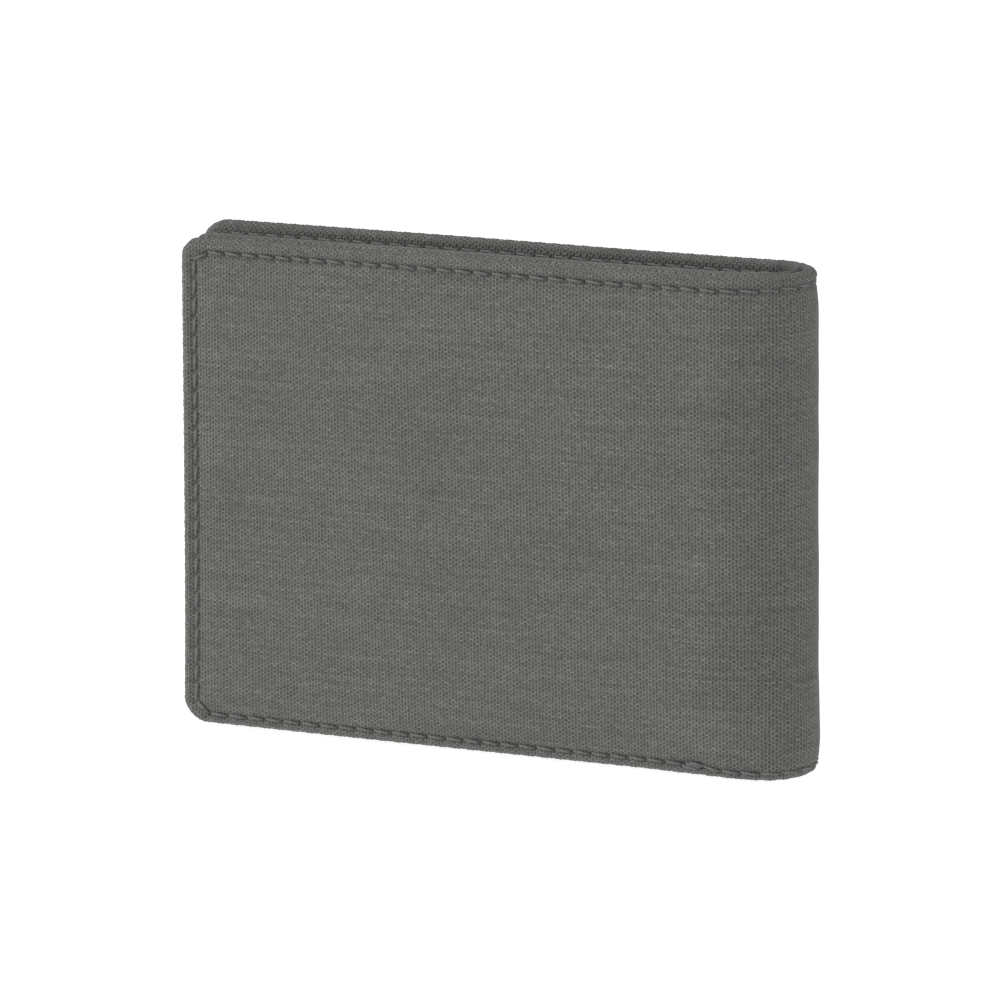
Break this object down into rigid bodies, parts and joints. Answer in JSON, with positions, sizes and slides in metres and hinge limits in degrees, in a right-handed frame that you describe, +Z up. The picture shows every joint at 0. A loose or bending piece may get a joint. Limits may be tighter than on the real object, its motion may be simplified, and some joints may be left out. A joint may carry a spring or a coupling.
{
  "type": "bifold wallet",
  "caption": "Closed bifold wallet in grey woven fabric: a padded cover sewn all round and folded at a rounded spine, card pockets in both halves, opens flat.",
  "frame": {"origin": "centre of the bottom edge, on the surface the closed wallet stands on", "axes": "+X along the length towards the folded spine, -Y the front half's outer face, +Y the back half's outer face, +Z up"},
  "size_m": [0.1142, 0.0158, 0.0889],
  "materials": {
    "shell_fabric": "plain weave of melange grey synthetic yarn, matte",
    "foam_padding": "thin soft foam interlining",
    "lining_fabric": "fine smooth woven lining",
    "pocket_fabric": "plain weave, turned and topstitched edges",
    "clear_vinyl": "clear soft vinyl sheet",
    "sewing_thread": "twisted polyester sewing thread"
  },
  "bodies": {
    "back_half": {"back_card_pocket_bottom": "pocket_fabric", "back_card_pocket_middle": "pocket_fabric", "back_card_pocket_top": "pocket_fabric", "back_cover_fabric": "shell_fabric", "back_cover_lining": "lining_fabric", "back_cover_padding": "foam_padding", "back_cover_thread": "sewing_thread", "back_panel_backing": "pocket_fabric", "back_panel_thread": "sewing_thread"},
    "spine_slat_1": {"spine_fabric_1": "shell_fabric", "spine_lining_1": "lining_fabric", "spine_padding_1": "foam_padding", "spine_thread_1": "sewing_thread", "spine_wall_1": "pocket_fabric"},
    "spine_slat_2": {"spine_fabric_2": "shell_fabric", "spine_lining_2": "lining_fabric", "spine_padding_2": "foam_padding", "spine_thread_2": "sewing_thread", "spine_wall_2": "pocket_fabric"},
    "spine_slat_3": {"spine_fabric_3": "shell_fabric", "spine_lining_3": "lining_fabric", "spine_padding_3": "foam_padding", "spine_thread_3": "sewing_thread", "spine_wall_3": "pocket_fabric"},
    "spine_slat_4": {"spine_fabric_4": "shell_fabric", "spine_lining_4": "lining_fabric", "spine_padding_4": "foam_padding", "spine_thread_4": "sewing_thread", "spine_wall_4": "pocket_fabric"},
    "spine_slat_5": {"spine_fabric_5": "shell_fabric", "spine_lining_5": "lining_fabric", "spine_padding_5": "foam_padding", "spine_thread_5": "sewing_thread", "spine_wall_5": "pocket_fabric"},
    "front_half": {"front_card_pocket_middle": "pocket_fabric", "front_card_pocket_top": "pocket_fabric", "front_cover_fabric": "shell_fabric", "front_cover_lining": "lining_fabric", "front_cover_padding": "foam_padding", "front_cover_thread": "sewing_thread", "front_id_pocket": "pocket_fabric", "front_panel_backing": "pocket_fabric", "front_panel_hem": "pocket_fabric", "front_panel_thread": "sewing_thread", "id_window": "clear_vinyl"}
  },
  "joints": [
    {"name": "fold_1", "type": "hinge", "parent": "back_half", "child": "spine_slat_1", "pos_m": [0.0513, 0.00763, 0.04445], "axis": [0, 0, 1], "range_deg": [0, 30]},
    {"name": "fold_2", "type": "hinge", "parent": "spine_slat_1", "child": "spine_slat_2", "pos_m": [0.05484, 0.00559, 0.04445], "axis": [0, 0, 1], "range_deg": [0, 30]},
    {"name": "fold_3", "type": "hinge", "parent": "spine_slat_2", "child": "spine_slat_3", "pos_m": [0.05688, 0.00204, 0.04445], "axis": [0, 0, 1], "range_deg": [0, 30]},
    {"name": "fold_4", "type": "hinge", "parent": "spine_slat_3", "child": "spine_slat_4", "pos_m": [0.05688, -0.00204, 0.04445], "axis": [0, 0, 1], "range_deg": [0, 30]},
    {"name": "fold_5", "type": "hinge", "parent": "spine_slat_4", "child": "spine_slat_5", "pos_m": [0.05484, -0.00559, 0.04445], "axis": [0, 0, 1], "range_deg": [0, 30]},
    {"name": "fold_6", "type": "hinge", "parent": "spine_slat_5", "child": "front_half", "pos_m": [0.0513, -0.00763, 0.04445], "axis": [0, 0, 1], "range_deg": [0, 30]}
  ],
  "couplings": [
    {"joint": "fold_2", "follows": "fold_1", "ratio": 1},
    {"joint": "fold_3", "follows": "fold_1", "ratio": 1},
    {"joint": "fold_4", "follows": "fold_1", "ratio": 1},
    {"joint": "fold_5", "follows": "fold_1", "ratio": 1},
    {"joint": "fold_6", "follows": "fold_1", "ratio": 1}
  ]
}
